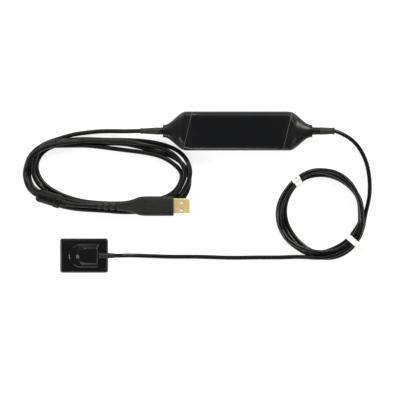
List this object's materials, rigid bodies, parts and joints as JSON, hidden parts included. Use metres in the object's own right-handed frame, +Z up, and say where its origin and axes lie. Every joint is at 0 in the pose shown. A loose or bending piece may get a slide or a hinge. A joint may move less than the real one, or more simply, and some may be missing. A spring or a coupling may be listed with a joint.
{
  "type": "intraoral x-ray sensor",
  "caption": "Flat rectangular dental x-ray sensor head on a coiled cord, with an inline interface box and a USB cord ending in a plug, laid out on a table.",
  "frame": {"origin": "middle of the interface box's underside, on the table it stands on", "axes": "+X along the interface box towards its sensor cord, +Y across the box away from the sensor head and the coils, +Z up"},
  "size_m": [0.2755, 0.1271, 0.017],
  "materials": {
    "case_black": "fine moulded grain, satin sheen",
    "label_gloss": "smooth gloss",
    "rubber_black": "soft matt moulding",
    "cord_jacket": "satin extruded jacket",
    "gold_plate": "bright gold plate over stamped metal",
    "board_green": "solder mask",
    "chip_black": "moulded package",
    "steel": "bright steel",
    "nylon_white": "translucent white nylon",
    "insulator_cream": "moulded insulator",
    "ferrite": "sintered ferrite, matt",
    "glass": "fused fibre plate",
    "phosphor": "chalky screen",
    "silicon": "polished chip"
  },
  "bodies": {
    "root": {"box_top_shell": "case_black", "box_bottom_shell": "case_black", "usb_end_cap": "case_black", "sensor_end_cap": "case_black", "head_front_shell": "case_black", "head_back_shell": "case_black", "ferrite_cover": "case_black", "label_plate": "label_gloss", "usb_strain_relief": "rubber_black", "sensor_strain_relief": "rubber_black", "head_cable_boot": "rubber_black", "plug_overmold": "rubber_black", "usb_cord_lead": "cord_jacket", "usb_cord_coil": "cord_jacket", "usb_cord_tail": "cord_jacket", "sensor_cord_lead": "cord_jacket", "sensor_cord_coil": "cord_jacket", "sensor_cord_tail": "cord_jacket", "usb_wires": "cord_jacket", "sensor_wires": "cord_jacket", "head_wires": "cord_jacket", "plug_shell": "gold_plate", "plug_contact_1": "gold_plate", "plug_contact_2": "gold_plate", "plug_contact_3": "gold_plate", "plug_contact_4": "gold_plate", "main_circuit_board": "board_green", "head_circuit_board": "board_green", "usb_controller_chip": "chip_black", "processor_chip": "chip_black", "memory_chip": "chip_black", "clock_crystal": "steel", "converter_shield": "steel", "capacitor_1": "steel", "capacitor_2": "steel", "capacitor_3": "steel", "usb_crimp_ring": "steel", "sensor_crimp_ring": "steel", "box_screw_1": "steel", "box_screw_2": "steel", "box_screw_3": "steel", "box_screw_4": "steel", "cable_tie_1": "nylon_white", "cable_tie_2": "nylon_white", "usb_header": "insulator_cream", "sensor_header": "insulator_cream", "head_connector": "insulator_cream", "plug_insulator": "insulator_cream", "ferrite_core": "ferrite", "fiber_optic_plate": "glass", "scintillator_screen": "phosphor", "image_sensor_chip": "silicon"}
  },
  "joints": []
}
